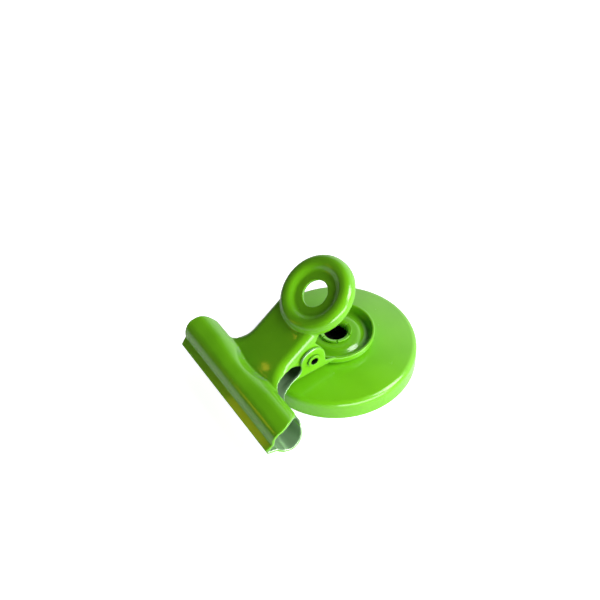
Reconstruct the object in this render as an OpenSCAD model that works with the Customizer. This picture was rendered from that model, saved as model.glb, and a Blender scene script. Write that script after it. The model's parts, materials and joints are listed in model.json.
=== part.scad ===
// Magnetic paper clip: two stamped steel jaws hinged on a hollow pin and sprung shut by a bent strip.
// A hollow rivet through the lower handle ring holds the clip on a round magnet base.
// Origin at the centre of the magnet's face, +Z away from the board, jaws towards -Y. Sizes in mm.

/* [Magnet base] */
// Diameter of the steel cup
base_d = 30; // [28:0.5:36]
// Height of the steel cup in its middle
base_h = 5.2; // [4.8:0.1:7]
// Outer radius of the cup's domed top
dome_r = 80; // [60:1:140]
// Outer radius of the cup's rounded edge
cup_edge_r = 1.2; // [1:0.1:2]
// Sheet thickness of the cup
cup_t = 0.8; // [0.6:0.1:1]
// Gap around the magnet inside the cup
magnet_gap = 0.3; // [0.2:0.05:0.6]
// Chamfer on the magnet's edges
magnet_chamfer = 0.4; // [0.2:0.1:0.6]
// Distance from the adhesive's rim to the cup's wall
adhesive_in = 2; // [1.4:0.1:4]
// Fitting gap between the adhesive and the cup
adhesive_fit = 0.02; // [0.01:0.01:0.05]
// Gap between the cup and the ring that turns on it
seat_gap = 0.05; // [0.02:0.01:0.1]

/* [Jaws] */
// Sheet thickness of both jaws
sheet_t = 0.55; // [0.4:0.05:0.6]
// Angle between each handle and the plane where the jaws meet
half_angle = 17.4; // [15:0.2:19]
// Distance from the hinge axis to the front edge of the lips
lip_reach = 15.9; // [15.4:0.1:17]
// Width of the jaws at the front edge of the lips
lip_w = 29.2; // [26:0.2:36]
// Length of the lip in front of its groove
lip_run = 1.5; // [1:0.1:2]
// Slope of the lip against the plane where the jaws meet
lip_slope = 25; // [18:1:32]
// Bend radius of the groove behind the lip, at mid-sheet
groove_r = 0.7; // [0.5:0.05:0.9]
// Bend radius of the bead, at mid-sheet
bead_r = 2.3; // [2.1:0.05:2.5]
// Steepness of the bead's front face
bead_rise = 75; // [68:1:80]
// Flat along the top of the bead
bead_flat = 1.1; // [0.3:0.1:1.4]
// Slant of the jaw's ends at the lip, from straight back
end_slant = 11; // [6:1:26]
// Radius of the jaw's rounded ends
end_r = 4; // [3:0.1:4.4]
// How far the neck is let into the back of the bead
neck_inset = 0.7; // [0.4:0.1:1]
// Radius of that hollow, seen from above
inset_r = 17.5; // [14:0.5:24]

/* [Neck and ears] */
// Outer width of both necks
neck_w = 11.4; // [10.8:0.1:12]
// Outer radius of the neck's shoulders
shoulder_r = 1.7; // [1.2:0.1:2]
// Radius of the corners between neck and bead, seen from above
corner_r = 4.4; // [3.8:0.1:4.6]
// Distance from the bead to the start of the flange's lower edge
sweep_lead = 0.8; // [0.5:0.1:1.2]
// Slope of that edge
sweep_slope = 20; // [14:1:24]
// Radius where the edge turns down in front of the ear
sweep_r = 2; // [1.6:0.1:2.4]
// Turn of the edge in front of the ear
sweep_turn = 55; // [45:1:60]
// Radius of the hinge ears
ear_r = 2.5; // [2.2:0.1:2.6]
// Height of the flange's edge behind the ears
ear_notch = 1.85; // [1.6:0.05:2.2]
// Length of the slope from the flange's edge to the rim of the ring
notch_run = 3.1; // [2.6:0.1:3.6]
// Side gap between the ears of the two jaws
ear_gap = 0.1; // [0.05:0.05:0.2]

/* [Handle rings] */
// Distance from the hinge axis to the centre of the ring
ring_back = 8.8; // [8.6:0.1:9.6]
// Outer diameter of the ring
ring_d = 14.4; // [14:0.1:15]
// Height of the ring's crest over the hinge axis
ring_rise = 5; // [4.8:0.05:5.4]
// Outer radius of the ring's rounded edge
ring_edge_r = 1.4; // [1.1:0.1:1.6]
// Flat along the ring's crest
crest_flat = 0.3; // [0.2:0.1:0.5]
// Depth of the rim, from the crest to its free edge
rim_depth = 2.1; // [1.8:0.1:2.4]
// Depth of the dish around the hole
dish_depth = 0.75; // [0.65:0.05:1.2]
// Slope of the dish
dish_slope = 40; // [35:1:45]
// Bend radius at the top and the foot of the dish, at mid-sheet
dish_r = 1; // [0.8:0.05:1.1]
// Diameter of the hole in the ring
ring_hole_d = 4.9; // [4.6:0.1:5.2]

/* [Hinge pin and spring] */
// Outer diameter of the hollow pin
pin_d = 2.3; // [2.1:0.1:2.6]
// Wall of the hollow pin
pin_wall = 0.45; // [0.3:0.05:0.5]
// Length of pin that stands out of each ear
pin_proud = 0.4; // [0.35:0.05:0.6]
// Widening of the pin's flared ends
pin_flare = 0.1; // [0.05:0.05:0.2]
// Running clearance of the pin in the upper ears
pin_clear = 0.05; // [0.02:0.01:0.1]
// Fitting clearance of the pin in the lower ears
pin_fit = 0.02; // [0.01:0.01:0.05]
// Thickness of the spring strip
spring_t = 0.45; // [0.3:0.05:0.5]
// Width of the spring strip
spring_w = 8.6; // [6:0.2:9]
// Gap between the pin and the spring's bend
spring_gap = 0.35; // [0.2:0.05:0.4]
// Gap between the spring's legs and the rims that they press on
spring_seat = 0.05; // [0.02:0.01:0.1]
// Length of the spring's legs past the front of the rims that they press on
spring_tail = 0.4; // [0.2:0.1:0.6]

/* [Rivet] */
// Running clearance of the rivet in the lower ring
rivet_clear = 0.05; // [0.02:0.01:0.1]
// Wall of the hollow rivet
rivet_wall = 0.3; // [0.25:0.05:0.45]
// Diameter of the rivet's head inside the cup
rivet_head_d = 7.4; // [6.6:0.1:8]
// Bend radius between the rivet's head and shank, at mid-wall
root_r = 0.25; // [0.25:0.01:0.3]
// Bend radius of the rivet's flared end, at mid-wall
flare_r = 0.45; // [0.4:0.01:0.55]
// Turn of the flared end
flare_turn = 76; // [60:1:80]
// Length of the flare past its bend
flare_run = 0.4; // [0.2:0.05:0.5]
// Splits around the flared end
splits = 6; // [4:1:8]
// Width of each split
split_w = 0.22; // [0.15:0.01:0.3]

/* [Hidden] */
paint = "#6fc21c";
steel = "#6e7370";
ferrite = "#26262a";
glue = "#c9b98a";
$fn = 72;
arc_step = 7.5;
arc_run = 1.5;
far = 60;
cut = 1;

// Heights on the dome, and where it runs into the rounded edge
function dome_z(x, inset = 0) = base_h - dome_r + sqrt(pow(dome_r - inset, 2) - x * x);
edge_lean = asin((base_d / 2 - cup_edge_r) / (dome_r - cup_edge_r));
wall_h = dome_z(base_d / 2 - cup_edge_r, cup_edge_r);

// The ring's crest rests on the dome
crest_r = ring_d / 2 - ring_edge_r - crest_flat;
hinge_y = -ring_back;
hinge_z = dome_z(crest_r) + seat_gap + ring_rise;
rivet_d = ring_hole_d - 2 * rivet_clear;
// Both jaws are one stamping, turned over: each neck stands off centre so that the ears pass side by side
neck_x = -(sheet_t + ear_gap) / 2;
dish_inner = ring_rise - dish_depth - sheet_t;
rim_edge = ring_rise - rim_depth;
bead_lap = 0.6 * sheet_t;

// Bent sheet: a path is a list of runs and bends, walked from a start of [x, y, heading].
function run(length) = [length, 0, 0];
function bend(r, turn) = [0, r, turn];
function bend_centre(s, e) = s[0] * [1, 0] + s[1] * [0, 1] + sign(e[2]) * e[1] * [-sin(s[2]), cos(s[2])];
function on_bend(c, e, h, d) = c + (sign(e[2]) * e[1] - d) * [sin(h), -cos(h)];
function beside(s, d) = [s[0] - d * sin(s[2]), s[1] + d * cos(s[2])];
function step(s, e) = e[2] == 0
    ? [s[0] + e[0] * cos(s[2]), s[1] + e[0] * sin(s[2]), s[2]]
    : concat(on_bend(bend_centre(s, e), e, s[2] + e[2], 0), s[2] + e[2]);
function states(path, s, i = 0) = i == len(path) ? [s] : concat([s], states(path, step(s, path[i]), i + 1));
function path_end(path, s) = states(path, s)[len(path)];
function bend_steps(e) = ceil(abs(e[2]) / min(arc_step, arc_run / e[1] * 180 / PI));
// Points at a distance d to the left of the path
function trace(path, start, d) = let (s = states(path, start)) concat([beside(start, d)], [
    for (i = [0 : len(path) - 1]) let (e = path[i], n = e[2] == 0 ? 1 : bend_steps(e))
        for (j = [1 : n]) e[2] == 0
            ? beside(s[i + 1], d)
            : on_bend(bend_centre(s[i], e), e, s[i][2] + e[2] * j / n, d)]);
function backwards(v) = [for (i = [len(v) - 1 : -1 : 0]) v[i]];
function mirrored(v) = [for (p = backwards(v)) [-p[0], p[1]]];

module sheet(path, start, t) {
    polygon(concat(trace(path, start, t / 2), backwards(trace(path, start, -t / 2))));
}

// A side profile (Y, Z) carried across the width, centred on X = 0
module across(w) {
    translate([-w / 2, 0, 0]) rotate([90, 0, 90]) linear_extrude(w) children();
}

// A cross-section (X, Z) carried along Y
module along(y0, y1) {
    translate([0, y1, 0]) rotate([90, 0, 0]) linear_extrude(y1 - y0) children();
}

module on_hinge_axis(d, h) {
    rotate([0, 90, 0]) cylinder(d = d, h = h, center = true);
}

// Each jaw is drawn in a handle frame: origin on the hinge axis, +Y towards the ring, +Z outwards.
// The jaw frame is turned from it so that Z = 0 is the plane where the two lips meet.
module jaw_frame() {
    rotate([-half_angle, 0, 0]) children();
}

module place_upper() {
    translate([0, hinge_y, hinge_z]) rotate([2 * half_angle, 0, 0]) children();
}

module place_lower() {
    translate([0, hinge_y, hinge_z]) rotate([0, 180, 0]) children();
}

// Bead: lip, groove and half-round, ending square to the neck, in the jaw frame
lip_start = [-lip_reach, sheet_t / 2, lip_slope];
bead_back = half_angle - 90;
bead_path = [run(lip_run), bend(groove_r, bead_rise - lip_slope), bend(bead_r, -bead_rise), run(bead_flat),
    bend(bead_r, bead_back), run(sheet_t / 2)];
bead_end = path_end(bead_path, lip_start);
back_y = bead_end[0] * cos(half_angle) + bead_end[1] * sin(half_angle) + sheet_t / 2;
// The neck's outer face lies where the bead's back wall ends
neck_rise = bead_end[1] * cos(half_angle) - bead_end[0] * sin(half_angle) + bead_lap;
inset_y = back_y - neck_inset + inset_r;

module jaw_plan() {
    slant = 90 - end_slant;
    depth = lip_reach + bead_end[0] + sheet_t;
    lead = (depth - end_r * (1 + sin(end_slant))) / cos(end_slant);
    side = trace([run(lead), bend(end_r, 90 + end_slant)], [lip_w / 2, -lip_reach, slant], 0);
    front = [lip_w / 2, -lip_reach - cut];
    polygon(concat([front], side, mirrored(side), mirrored([front])));
}

module bead_sheet() {
    jaw_frame() intersection() {
        across(far) sheet(bead_path, lip_start, sheet_t);
        translate([0, 0, -far]) linear_extrude(2 * far) jaw_plan();
    }
}

module bead_filled() {
    translate([neck_x, 0, 0]) jaw_frame() across(neck_w) polygon(trace(bead_path, lip_start, sheet_t / 2));
}

module inset_cylinder(r) {
    translate([neck_x, inset_y, neck_rise - sheet_t]) cylinder(r = r, h = far, $fn = 4 * $fn);
}

module bead() {
    difference() {
        bead_sheet();
        inset_cylinder(inset_r);
    }
    intersection() {
        bead_filled();
        difference() {
            inset_cylinder(inset_r + sheet_t);
            inset_cylinder(inset_r);
        }
    }
}

// Ring: a dished washer with a turned-down rim
module ring() {
    edge_r = ring_edge_r - sheet_t / 2;
    slope = (dish_depth - 2 * dish_r * (1 - cos(dish_slope))) / sin(dish_slope);
    wall = rim_depth - sheet_t / 2 - edge_r;
    inner = [run(wall), bend(edge_r, 90), run(crest_flat), bend(dish_r, dish_slope), run(slope),
        bend(dish_r, -dish_slope)];
    start = [(ring_d - sheet_t) / 2, rim_edge, 90];
    floor_run = path_end(inner, start)[0] - ring_hole_d / 2;
    translate([0, ring_back, 0]) rotate_extrude() sheet(concat(inner, [run(floor_run)]), start, sheet_t);
}

// Neck: a channel whose flanges sweep round into the back of the bead
module neck_section() {
    r = shoulder_r - sheet_t / 2;
    leg = neck_rise - shoulder_r + ear_r;
    path = [run(leg), bend(r, -90), run(neck_w - 2 * shoulder_r), bend(r, -90), run(leg)];
    sheet(path, [-(neck_w - sheet_t) / 2, -ear_r, 90], sheet_t);
}

module neck_corner() {
    r = shoulder_r - sheet_t / 2;
    leg = neck_rise - shoulder_r + ear_r;
    path = [run(leg), bend(r, -90), run(sheet_t)];
    translate([neck_w / 2 + corner_r, back_y + corner_r, 0]) rotate([0, 0, 180]) rotate_extrude(angle = 90)
        sheet(path, [corner_r + sheet_t / 2, -ear_r, 90], sheet_t);
}

module neck_plate() {
    translate([0, 0, neck_rise - sheet_t]) linear_extrude(sheet_t) difference() {
        union() {
            translate([-neck_w / 2 - corner_r, back_y - sheet_t / 2])
                square([neck_w + 2 * corner_r, corner_r + sheet_t / 2]);
            translate([shoulder_r - neck_w / 2, back_y])
                square([neck_w - 2 * shoulder_r, corner_r + sheet_t]);
            intersection() {
                translate([0, inset_y]) circle(inset_r + sheet_t / 2, $fn = 4 * $fn);
                translate([-neck_w / 2, back_y - 2 * neck_inset]) square([neck_w, 2 * neck_inset]);
            }
        }
        for (side = [-1, 1]) translate([side * (neck_w / 2 + corner_r), back_y + corner_r])
            circle(corner_r + shoulder_r + sheet_t / 2);
    }
}

// Side outline of the flanges: an edge swept down from the bead, the round ear, and a notch behind it
module flange_outline() {
    front = back_y - 2 * neck_inset;
    under = neck_rise - sheet_t;
    start = [back_y + sweep_lead, under, -sweep_slope];
    turn_y = sweep_r * (sin(sweep_slope + sweep_turn) - sin(sweep_slope));
    slope_run = (-ear_r - start[0] - turn_y) / cos(sweep_slope);
    sweep = trace([run(slope_run), bend(sweep_r, -sweep_turn), run(ear_r / 2)], start, 0);
    notch_end = ring_back - ring_d / 2 + notch_run;
    notch = [[0, 0], [ear_r, 0], [ear_r, ear_notch], [notch_end, rim_edge], [ring_back, rim_edge]];
    top = [[ring_back, neck_rise + cut], [front, neck_rise + cut], [front, under]];
    polygon(concat(top, sweep, notch));
    circle(ear_r);
}

module neck() {
    intersection() {
        difference() {
            translate([neck_x, 0, 0]) {
                along(back_y + corner_r, ring_back) neck_section();
                neck_plate();
                neck_corner();
                mirror([1, 0, 0]) neck_corner();
            }
            translate([0, ring_back, 0]) cylinder(d = ring_d - sheet_t, h = far, center = true);
        }
        across(far) flange_outline();
    }
}

module jaw(bore_d) {
    difference() {
        union() {
            ring();
            neck();
            bead();
        }
        on_hinge_axis(bore_d, far);
    }
}

module upper_jaw() {
    color(paint) place_upper() jaw(pin_d + 2 * pin_clear);
}

module lower_jaw() {
    color(paint) place_lower() jaw(pin_d + 2 * pin_fit);
}

module hinge_pin() {
    length = neck_w - 2 * neck_x + 2 * pin_proud;
    color(paint) translate([0, hinge_y, hinge_z]) difference() {
        union() {
            on_hinge_axis(pin_d, length);
            for (side = [-1, 1]) translate([side * (length - pin_proud / 2) / 2, 0, 0])
                on_hinge_axis(pin_d + 2 * pin_flare, pin_proud / 2);
        }
        on_hinge_axis(pin_d - 2 * pin_wall, length + cut);
    }
}

// Spring: a strip bent round the front of the pin, its legs pressing the two ring rims apart
module spring() {
    r = pin_d / 2 + spring_gap + spring_t / 2;
    outer_r = r + spring_t / 2 + spring_seat;
    rest = [ring_back - ring_d / 2 + sheet_t + spring_tail, rim_edge];
    lean = atan2(rest[1], rest[0]) + acos(outer_r / norm(rest)) + half_angle;
    leg = sqrt(rest * rest - outer_r * outer_r);
    tip = [r * cos(lean) + leg * sin(lean), r * sin(lean) - leg * cos(lean), lean + 90];
    color(steel) translate([0, hinge_y, hinge_z]) rotate([half_angle, 0, 0]) across(spring_w)
        sheet([run(leg), bend(r, 360 - 2 * lean), run(leg)], tip, spring_t);
}

// Magnet cup: a domed sheet with a hole in its middle, turned down at a rounded edge
module magnet_cup() {
    mid = dome_r - cup_t / 2;
    hole = rivet_d / 2 + rivet_clear;
    lean = asin(hole / mid);
    path = [bend(mid, lean - edge_lean), bend(cup_edge_r - cup_t / 2, edge_lean - 90), run(wall_h)];
    color(paint) rotate_extrude() sheet(path, [hole, dome_z(hole, cup_t / 2), -lean], cup_t);
}

module magnet() {
    r = base_d / 2 - cup_t - magnet_gap;
    c = magnet_chamfer;
    color(ferrite) rotate_extrude()
        polygon([[0, 0], [r - c / 2, 0], [r, c / 2], [r, wall_h - c], [r - c, wall_h], [0, wall_h]]);
}

// Adhesive: a ring on the magnet, filled up to the underside of the dome
module adhesive() {
    inset = cup_t + adhesive_fit;
    inner = rivet_head_d / 2 + magnet_gap;
    outer = base_d / 2 - adhesive_in;
    lean = asin(inner / (dome_r - inset));
    crown = bend(dome_r - inset, lean - asin(outer / (dome_r - inset)));
    top = trace([crown], [inner, dome_z(inner, inset), -lean], 0);
    color(glue) rotate_extrude() polygon(concat(top, [[outer, wall_h], [inner, wall_h]]));
}

// Rivet: head under the cup's top, hollow shank, and a split flare over the ring's hole
module rivet() {
    shank_r = (rivet_d - rivet_wall) / 2;
    foot = dome_z(rivet_head_d / 2, cup_t) - rivet_clear - rivet_wall / 2;
    floor_z = hinge_z - dish_inner;
    under_r = flare_r - rivet_wall / 2;
    flare_z = floor_z + rivet_clear - sqrt(rivet_clear * (2 * under_r - rivet_clear));
    path = [run(rivet_head_d / 2 - shank_r - root_r), bend(root_r, -90), run(flare_z - foot - root_r),
        bend(flare_r, -flare_turn), run(flare_run)];
    color(paint) difference() {
        rotate_extrude() sheet(path, [rivet_head_d / 2, foot, 180], rivet_wall);
        for (i = [0 : splits - 1]) rotate([0, 0, 360 * (i + 0.5) / splits])
            translate([rivet_d / 2, -split_w / 2, floor_z]) cube([far, split_w, far]);
    }
}

magnet_cup();
magnet();
adhesive();
rivet();
lower_jaw();
hinge_pin();
spring();
upper_jaw();
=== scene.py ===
import json
from math import copysign, cos, radians, sin

import bpy
from mathutils import Matrix, Vector


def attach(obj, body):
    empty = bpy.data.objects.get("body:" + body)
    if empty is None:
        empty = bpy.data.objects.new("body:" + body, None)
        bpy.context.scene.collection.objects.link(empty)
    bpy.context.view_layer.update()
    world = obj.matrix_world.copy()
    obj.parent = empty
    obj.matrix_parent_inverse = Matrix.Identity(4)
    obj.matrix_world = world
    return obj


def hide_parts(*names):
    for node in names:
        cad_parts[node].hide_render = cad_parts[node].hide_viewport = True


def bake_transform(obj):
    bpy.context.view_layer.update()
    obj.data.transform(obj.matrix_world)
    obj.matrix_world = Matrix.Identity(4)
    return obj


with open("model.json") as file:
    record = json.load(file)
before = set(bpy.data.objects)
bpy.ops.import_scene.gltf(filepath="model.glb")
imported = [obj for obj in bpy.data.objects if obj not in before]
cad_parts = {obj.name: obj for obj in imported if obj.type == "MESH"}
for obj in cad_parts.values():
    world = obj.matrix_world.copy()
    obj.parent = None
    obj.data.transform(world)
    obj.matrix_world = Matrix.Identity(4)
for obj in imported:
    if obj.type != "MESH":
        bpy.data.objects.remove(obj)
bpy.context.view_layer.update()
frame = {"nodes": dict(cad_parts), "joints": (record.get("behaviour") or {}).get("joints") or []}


# Magnet cup: a domed cup pressed from sheet steel and coated with lime-green enamel.
# Its rounded edge comes from the press tool; the rivet goes through the hole in its middle.


class Shade:
    """A socket of a material's node tree that can be added, taken away and multiplied."""

    def __init__(self, tree, socket=None):
        self.tree = tree
        self.socket = socket

    def make(self, kind, settings=None, out=0, **inputs):
        """Any node, by its type: settings first, then a value or a link for each socket.

        A socket goes by its name, or by its number after an n.
        """
        node = self.tree.nodes.new(kind)
        for name, value in (settings or {}).items():
            setattr(node, name, value)
        for name, value in inputs.items():
            key = int(name[1:]) if name[1:].isdigit() else name.replace("_", " ")
            self.join(value, node.inputs[key])
        return Shade(self.tree, node.outputs[out])

    def join(self, value, socket):
        """Links a shade to a socket, or sets a plain value on it."""
        if isinstance(value, Shade):
            self.tree.links.new(value.socket, socket)
        elif socket.type == "RGBA" and len(value) == 3:
            socket.default_value = (*value, 1)
        else:
            socket.default_value = value

    def math(self, operation, a, b):
        return self.make("ShaderNodeMath", {"operation": operation}, n0=a, n1=b)

    def vector(self, operation, other=(0, 0, 0), out=0):
        return self.make("ShaderNodeVectorMath", {"operation": operation}, out=out, n0=self, n1=other)

    def __add__(self, other):
        return self.math("ADD", self, other)

    __radd__ = __add__

    def __sub__(self, other):
        return self.math("SUBTRACT", self, other)

    def __rsub__(self, other):
        return self.math("SUBTRACT", other, self)

    def __mul__(self, other):
        return self.math("MULTIPLY", self, other)

    __rmul__ = __mul__

    def above(self, edge, width):
        """0 below the edge, 1 above it, with a soft step of that width."""
        return self.make("ShaderNodeMapRange", {"interpolation_type": "SMOOTHSTEP"},
                         n0=self, n1=edge, n2=edge + width, n3=0.0, n4=1.0)

    def tint(self, low, high):
        """One colour where this is 0, the other where it is 1."""
        return self.make("ShaderNodeMix", {"data_type": "RGBA"}, out=2, n0=self, n6=low, n7=high)


def finish_of(name):
    """A new material with its surface shader, and the object's own coordinates in it."""
    material = bpy.data.materials.new(name)
    material.use_nodes = True
    tree = material.node_tree
    place = Shade(tree).make("ShaderNodeTexCoord", out="Object")
    return material, tree.nodes["Principled BSDF"].inputs, place


deep_lime = (0.148, 0.500, 0.004)
full_lime = (0.168, 0.545, 0.006)
dust_tone = (0.02, 0.05, 0.008)
dust_grid = 420
clear_coat = 0.5


def enamel(name, specks, gloss):
    """Coat of lime enamel: fine orange peel, a slow change in depth and a few dust specks."""
    material, surface, place = finish_of(name)
    depth = place.make("ShaderNodeTexNoise", Vector=place, Scale=160, Detail=2)
    peel = place.make("ShaderNodeTexNoise", Vector=place, Scale=1300, Detail=1)
    haze = place.make("ShaderNodeTexNoise", Vector=place, Scale=520, Detail=3)
    cell = place.make("ShaderNodeTexVoronoi", Vector=place, Scale=dust_grid)
    pick = place.make("ShaderNodeTexVoronoi", out="Color", Vector=place, Scale=dust_grid)
    chosen = place.make("ShaderNodeSeparateColor", Color=pick).above(1 - specks, 0.002)
    dust = (1 - cell.above(0.05, 0.03)) * chosen
    body = depth.above(0.3, 0.4).tint(deep_lime, full_lime)
    bumps = place.make("ShaderNodeBump", Height=peel, Strength=0.12, Distance=0.00003)
    place.join(dust.tint(body, dust_tone), surface["Base Color"])
    place.join(haze * 0.10 + 0.20, surface["Roughness"])
    place.join(bumps, surface["Normal"])
    surface["Coat Weight"].default_value = clear_coat
    surface["Coat Roughness"].default_value = gloss
    surface["Sheen Weight"].default_value = 0.08
    surface["Sheen Roughness"].default_value = 0.4
    return material


def dress(piece, material):
    """Gives a piece one material in place of those it has."""
    piece.data.materials.clear()
    piece.data.materials.append(material)


dress(frame["nodes"]["magnet_cup"], enamel("cup_enamel", specks=0.02, gloss=0.14))


# Magnet: a sintered ferrite disc, ground flat, that fills the cup.
# Its matt black top shows at the bottom of the rivet's bore.

ferrite, surface, place = finish_of("ferrite")
grain = place.make("ShaderNodeTexNoise", Vector=place, Scale=2600, Detail=4)
pores = place.make("ShaderNodeBump", Height=grain, Strength=0.3, Distance=0.00004)
place.join(grain.tint((0.008, 0.008, 0.009), (0.022, 0.022, 0.024)), surface["Base Color"])
place.join(grain * 0.2 + 0.6, surface["Roughness"])
place.join(pores, surface["Normal"])
dress(frame["nodes"]["magnet"], ferrite)


# Adhesive: a poured ring of amber resin between the magnet and the cup's top.
# It lies round the rivet's head and is hidden once the magnet is in.

resin, surface, place = finish_of("resin")
cloud = place.make("ShaderNodeTexNoise", Vector=place, Scale=700, Detail=3)
place.join(cloud.tint((0.42, 0.30, 0.10), (0.58, 0.46, 0.20)), surface["Base Color"])
place.join(cloud * 0.2 + 0.25, surface["Roughness"])
dress(frame["nodes"]["adhesive"], resin)


# Lower jaw: stamped from thin sheet steel and sprayed with the same enamel as the cup.
# The paint rounds every cut edge and is only a thin mist inside.
# Its ring turns on the rivet and its ears hold the pin.

mm = 0.001
hinge = Vector(next(joint["pos_m"] for joint in frame["joints"] if joint["name"] == "jaw_hinge"))
jaw_spread = radians(34.8)
across_jaws = Vector((0, -sin(jaw_spread / 2), cos(jaw_spread / 2)))
neck_offset = 0.325
thin_green = (0.38, 0.60, 0.34)


def smooth_over(piece, rounds, group=""):
    """Lets the surface flow, all over or only where a vertex group says."""
    flow = piece.modifiers.new("flow", "SMOOTH")
    flow.factor = 0.5
    flow.iterations = rounds
    flow.vertex_group = group
    bpy.ops.object.modifier_apply(modifier="flow")


def press_on(piece, node, group=""):
    """Lays the surface on the steel part's own faces, all over or where a vertex group says."""
    press = piece.modifiers.new("press", "SHRINKWRAP")
    press.target = frame["nodes"][node]
    press.vertex_group = group
    bpy.ops.object.modifier_apply(modifier="press")


def painted_skin(node, grain, rounds, finish):
    """A copy of a steel part, in an even fine mesh, whose edges are rounded by its coat of paint."""
    skin = bpy.data.objects.new(node + "_skin", frame["nodes"][node].data.copy())
    bpy.context.collection.objects.link(skin)
    bpy.ops.object.select_all(action="DESELECT")
    skin.select_set(True)
    bpy.context.view_layer.objects.active = skin
    bpy.ops.object.mode_set(mode="EDIT")
    bpy.ops.mesh.select_all(action="SELECT")
    bpy.ops.mesh.remove_doubles(threshold=0.002 * mm)
    bpy.ops.object.mode_set(mode="OBJECT")
    # The grain is in millimetres, and so is the skin while it is remeshed.
    skin.scale = (1 / mm, 1 / mm, 1 / mm)
    bpy.ops.object.transform_apply(scale=True)
    coat = skin.modifiers.new("coat", "REMESH")
    coat.mode = "VOXEL"
    coat.voxel_size = grain
    bpy.ops.object.modifier_apply(modifier="coat")
    smooth_over(skin, rounds=6)
    skin.scale = (mm, mm, mm)
    bpy.ops.object.transform_apply(scale=True)
    press_on(skin, node)
    smooth_over(skin, rounds)
    bpy.ops.object.shade_smooth()
    dress(skin, finish)
    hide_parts(node)
    return skin


def settle_faces(jaw):
    """Levels the broad faces in front of the hinge and leaves the edges: gentle curves flow on."""
    edge_turn, fade = radians(20), radians(6)
    turn = [0.0] * len(jaw.data.vertices)
    for edge in jaw.data.edges:
        a, b = edge.vertices
        angle = jaw.data.vertices[a].normal.angle(jaw.data.vertices[b].normal, 0)
        turn[a] = max(turn[a], angle)
        turn[b] = max(turn[b], angle)
    gentle = jaw.vertex_groups.new(name="gentle")
    for vertex, angle in zip(jaw.data.vertices, turn):
        if angle < edge_turn and vertex.co.y < hinge.y:
            gentle.add([vertex.index], min(1, (edge_turn - angle) / fade), "REPLACE")
    smooth_over(jaw, rounds=30, group="gentle")


def press_lip(jaw, node):
    """Presses the lip back to its full size and leaves a run of paint where the closed jaws meet."""
    lip_start, fade = -22.6 * mm, 0.6 * mm
    run_width, run_height = 0.3 * mm, 0.08 * mm
    lip = jaw.vertex_groups.new(name="lip")
    for vertex in jaw.data.vertices:
        reach = min(1, (lip_start - vertex.co.y) / fade)
        if reach > 0:
            lip.add([vertex.index], reach, "REPLACE")
    press_on(jaw, node, "lip")
    for vertex in jaw.data.vertices:
        off_plane = (vertex.co - hinge).dot(across_jaws)
        if vertex.co.y < lip_start and abs(off_plane) < run_width:
            run = copysign(run_height * (1 - abs(off_plane) / run_width), off_plane)
            vertex.co -= across_jaws * run


def to_handle(turn):
    """From the clip's place to a jaw's own: the hinge in the middle and the ring level."""
    return Matrix.Rotation(-turn, 4, "X") @ Matrix.Translation(-hinge)


def lean_flank(jaw, turn, neck_x):
    """Leans the bead's back wall above the neck into a soft flank, as the press leaves it.

    It works in millimetres, in the jaw's own place.
    """
    neck_end, bow = 8.24, 35
    neck_top, wall_height = 4, 1.7
    lean, lean_depth, lean_width = 0.5, 3, 8
    near_gain, rise_gain = 3, 4
    own_place = to_handle(turn)
    clip_place = own_place.inverted()
    flank = jaw.vertex_groups.new(name="flank")
    for vertex in jaw.data.vertices:
        spot = own_place @ vertex.co / mm
        beside = abs(spot.x - neck_x)
        behind = spot.y + neck_end - beside * beside / bow
        rise = min(1, max(0, (abs(spot.z) - neck_top) / wall_height))
        near = max(0, 1 - abs(behind) / lean_depth) * max(0, 1 - (beside / lean_width) ** 2)
        spot.y -= lean * rise * near
        vertex.co = clip_place @ (spot * mm)
        if near and rise:
            share = min(1, near_gain * near) * min(1, rise_gain * rise)
            flank.add([vertex.index], share, "REPLACE")
    smooth_over(jaw, rounds=60, group="flank")


def thin_inside(jaw, turn, outwards, neck_x):
    """Marks the faces that look into the closed clip, where the spray left only a thin mist.

    It works in millimetres, in the jaw's own place.
    """
    neck_reach, mist_end, mist_fade, full_turn = 6, 1.5, 2, 0.4
    own_place = to_handle(turn)
    own_turn = Matrix.Rotation(-turn, 3, "X")
    mist = jaw.data.attributes.new("mist", "FLOAT", "POINT")
    for vertex in jaw.data.vertices:
        spot = own_place @ vertex.co / mm
        normal = own_turn @ vertex.normal
        to_other_jaw = -outwards * normal.z
        to_middle = -normal.x if spot.x > neck_x else normal.x
        inward = max(to_other_jaw, to_middle if abs(spot.x - neck_x) < neck_reach else 0)
        in_front = min(1, max(0, (mist_end - spot.y) / mist_fade))
        mist.data[vertex.index].value = in_front * min(1, max(0, inward / full_turn))


def misted(material):
    """Shows the steel through the enamel where the mist attribute says that the coat is thin."""
    surface = material.node_tree.nodes["Principled BSDF"].inputs
    mist = Shade(material.node_tree).make("ShaderNodeAttribute", {"attribute_name": "mist"}, out="Fac")
    thin = mist.above(0.2, 0.7)
    full = Shade(material.node_tree, surface["Base Color"].links[0].from_socket)
    thin.join(thin.tint(full, thin_green), surface["Base Color"])
    thin.join(thin * 0.6, surface["Metallic"])


jaw_enamel = enamel("jaw_enamel", specks=0.01, gloss=0.05)
misted(jaw_enamel)
lower_jaw = painted_skin("lower_jaw", grain=0.14, rounds=7, finish=jaw_enamel)
settle_faces(lower_jaw)
press_lip(lower_jaw, "lower_jaw")
lean_flank(lower_jaw, 0, neck_offset)
thin_inside(lower_jaw, 0, -1, neck_offset)
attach(lower_jaw, "clip")


# Rivet: a hollow tubular rivet, its end split and flared over the ring when it was set.
# It was coated with the clip; inside its bore the colour is painted near-black, a painted shade for
# the dark hollow.

# Near-black colour painted into the hollow bores as shade, with their clear coat taken off.
bore_painted_shade = (0.003, 0.003, 0.003)


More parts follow.
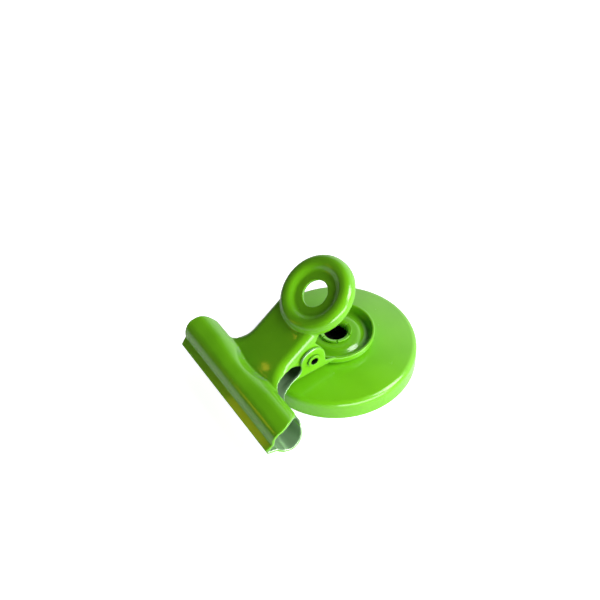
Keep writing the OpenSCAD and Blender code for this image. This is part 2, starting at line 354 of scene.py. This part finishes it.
def paint_bore_shade(material, centre, across, limit, edge):
    """Paints shade inside a bore: near-black and without the clear coat, up to a given depth on its
    wall.
    """
    surface = material.node_tree.nodes["Principled BSDF"].inputs
    place = Shade(material.node_tree).make("ShaderNodeTexCoord", out="Object")
    along = Vector((1, 1, 1)) - Vector(across)
    flat = place.vector("SUBTRACT", centre).vector("MULTIPLY", across)
    radius = flat.vector("LENGTH", out="Value")
    depth = place.vector("DOT_PRODUCT", along, out="Value")
    # Painted shade: inside the bore and below the given depth, the colour goes near-black and the coat
    # is taken off.
    bore_shade_mask = (1 - radius.above(limit, 0.1 * mm)) * (1 - depth.above(edge, 0.2 * mm))
    full = Shade(material.node_tree, surface["Base Color"].links[0].from_socket)
    place.join(bore_shade_mask.tint(full, bore_painted_shade), surface["Base Color"])
    place.join((1 - bore_shade_mask) * clear_coat, surface["Coat Weight"])


rivet_enamel = enamel("rivet_enamel", specks=0.01, gloss=0.05)
# The rivet's bore gets painted shade below its flare.
paint_bore_shade(rivet_enamel, (0, 0, 0), across=(1, 1, 0), limit=2.15 * mm, edge=5.6 * mm)
rivet = painted_skin("rivet", grain=0.05, rounds=3, finish=rivet_enamel)
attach(rivet, "base")


# Hinge pin: a rolled steel tube pushed through the four ears and flared at both ends.
# It was coated with the clip, and its bore is painted near-black as a painted shade for the dark
# hollow.

pin_enamel = enamel("pin_enamel", specks=0.01, gloss=0.05)
# The pin's bore gets painted shade along its length.
paint_bore_shade(pin_enamel, hinge, across=(0, 1, 1), limit=0.76 * mm, edge=6.3 * mm)
hinge_pin = painted_skin("hinge_pin", grain=0.05, rounds=4, finish=pin_enamel)
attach(hinge_pin, "clip")


# Spring: a strip of dark tempered steel bent round the pin, bare and unpainted.
# Its legs press the two rings apart, one leg on each jaw.

temper, surface, place = finish_of("tempered_strip")
along = place.make("ShaderNodeMapping", Vector=place, Scale=(1, 12, 12))
grind = place.make("ShaderNodeTexNoise", Vector=along, Scale=900, Detail=4)
place.join(grind.tint((0.10, 0.11, 0.10), (0.20, 0.21, 0.19)), surface["Base Color"])
place.join(grind * 0.25 + 0.25, surface["Roughness"])
surface["Metallic"].default_value = 1.0
spring = bpy.data.objects.new("spring_strip", frame["nodes"]["spring"].data.copy())
bpy.context.collection.objects.link(spring)
dress(spring, temper)
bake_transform(spring)
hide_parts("spring")


# Upper jaw: the same stamping turned over, so that its ears stand beside the lower ones.
# Its free ring is the one that the fingers press; it was sprayed with the same enamel.

upper_jaw = painted_skin("upper_jaw", grain=0.14, rounds=7, finish=jaw_enamel)
settle_faces(upper_jaw)
press_lip(upper_jaw, "upper_jaw")
lean_flank(upper_jaw, jaw_spread, -neck_offset)
thin_inside(upper_jaw, jaw_spread, 1, -neck_offset)
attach(upper_jaw, "upper")


# Studio: a white floor that keeps a faint shadow, a white room that lights from the back right,
# a soft key lamp on the right, a low panel in front and three small warm lamps that the gloss mirrors.
# The camera stands at the photograph's angle.

bpy.ops.object.select_all(action="DESELECT")
bpy.ops.mesh.primitive_plane_add(size=20)
floor = bpy.context.object
floor.name = "floor"
white, surface, place = finish_of("white_floor")
seen = place.make("ShaderNodeLightPath", out="Is Camera Ray")
mirrored = place.make("ShaderNodeLightPath", out="Is Glossy Ray")
place.join(seen * 0.85 + mirrored * 0.1, surface["Emission Color"])
surface["Emission Strength"].default_value = 1
surface["Base Color"].default_value = (0.75, 0.75, 0.75, 1)
surface["Roughness"].default_value = 0.9
dress(floor, white)

azimuth = radians(56.2)
elevation = radians(48.88)
roll = radians(-1.82)
distance = 150 * mm
picture = 600
focal_length = 792.5
middle_x, middle_y = 336.37, 354.39
side = Vector((cos(azimuth), sin(azimuth), 0))
level = Vector((-sin(azimuth), cos(azimuth), 0))
upright = Vector((0, 0, 1))
ahead = level * cos(elevation) - upright * sin(elevation)
up = level * sin(elevation) + upright * cos(elevation)
right = side * cos(roll) + up * sin(roll)
top = up * cos(roll) - side * sin(roll)
lens = bpy.data.cameras.new("photo_camera")
lens.sensor_width = 36
lens.lens = lens.sensor_width * focal_length / picture
lens.shift_x = (picture / 2 - middle_x) / picture
lens.shift_y = (middle_y - picture / 2) / picture
lens.clip_start = 5 * mm
camera = bpy.data.objects.new("photo_camera", lens)
bpy.context.collection.objects.link(camera)
aim = Matrix((right, top, -ahead)).transposed().to_4x4()
camera.matrix_world = Matrix.Translation(-distance * ahead) @ aim
bpy.context.scene.camera = camera


def lamp(name, direction, reach, size, power, colour=(1, 1, 1), tall=1):
    """A flat lamp that looks at the base's middle; tall is its height over its width."""
    data = bpy.data.lights.new(name, "AREA")
    data.shape = "RECTANGLE"
    data.size = size
    data.size_y = size * tall
    data.energy = power
    data.color = colour
    lit = bpy.data.objects.new(name, data)
    bpy.context.collection.objects.link(lit)
    spot = direction.normalized() * reach
    lit.matrix_world = Matrix.Translation(spot) @ spot.to_track_quat("Z", "Y").to_matrix().to_4x4()


amber = (1, 0.6, 0.05)
gold = (1, 0.7, 0.02)
to_low_lamp = Vector((-0.566, -0.627, 0.536))
to_lip_lamp = Vector((-0.520, -0.795, 0.312))
to_high_lamp = Vector((-0.568, -0.580, 0.584))
lamp("key", side * 0.75 - level * 0.2 + upright * 0.62, reach=0.7, size=0.34, power=4.9, tall=1.3)
lamp("panel", side * 0.5 - level * 0.85 + upright * 0.16, reach=0.7, size=0.8, power=5.0, tall=0.28)
lamp("low_room_lamp", to_low_lamp, reach=0.5135, size=0.005, power=0.0013, colour=amber)
lamp("lip_room_lamp", to_lip_lamp, reach=0.5157, size=0.045, power=0.055, colour=gold, tall=2.5)
lamp("high_room_lamp", to_high_lamp, reach=0.5122, size=0.004, power=0.0006, colour=amber)

world = bpy.data.worlds.new("white_room")
bpy.context.scene.world = world
world.use_nodes = True
background = world.node_tree.nodes["Background"].inputs
sky = Shade(world.node_tree)
gaze = sky.make("ShaderNodeTexCoord", out="Generated")
bright_side = level * 0.8 + side * 0.6
glow = gaze.vector("DOT_PRODUCT", bright_side, out="Value").above(0.4, 0.5) * 1.2 + 0.03
direct = sky.make("ShaderNodeLightPath", out="Is Camera Ray")
sky.join(direct + (1 - direct) * glow, background["Strength"])
background["Color"].default_value = (1, 1, 1, 1)

bpy.context.scene.view_settings.view_transform = "Standard"
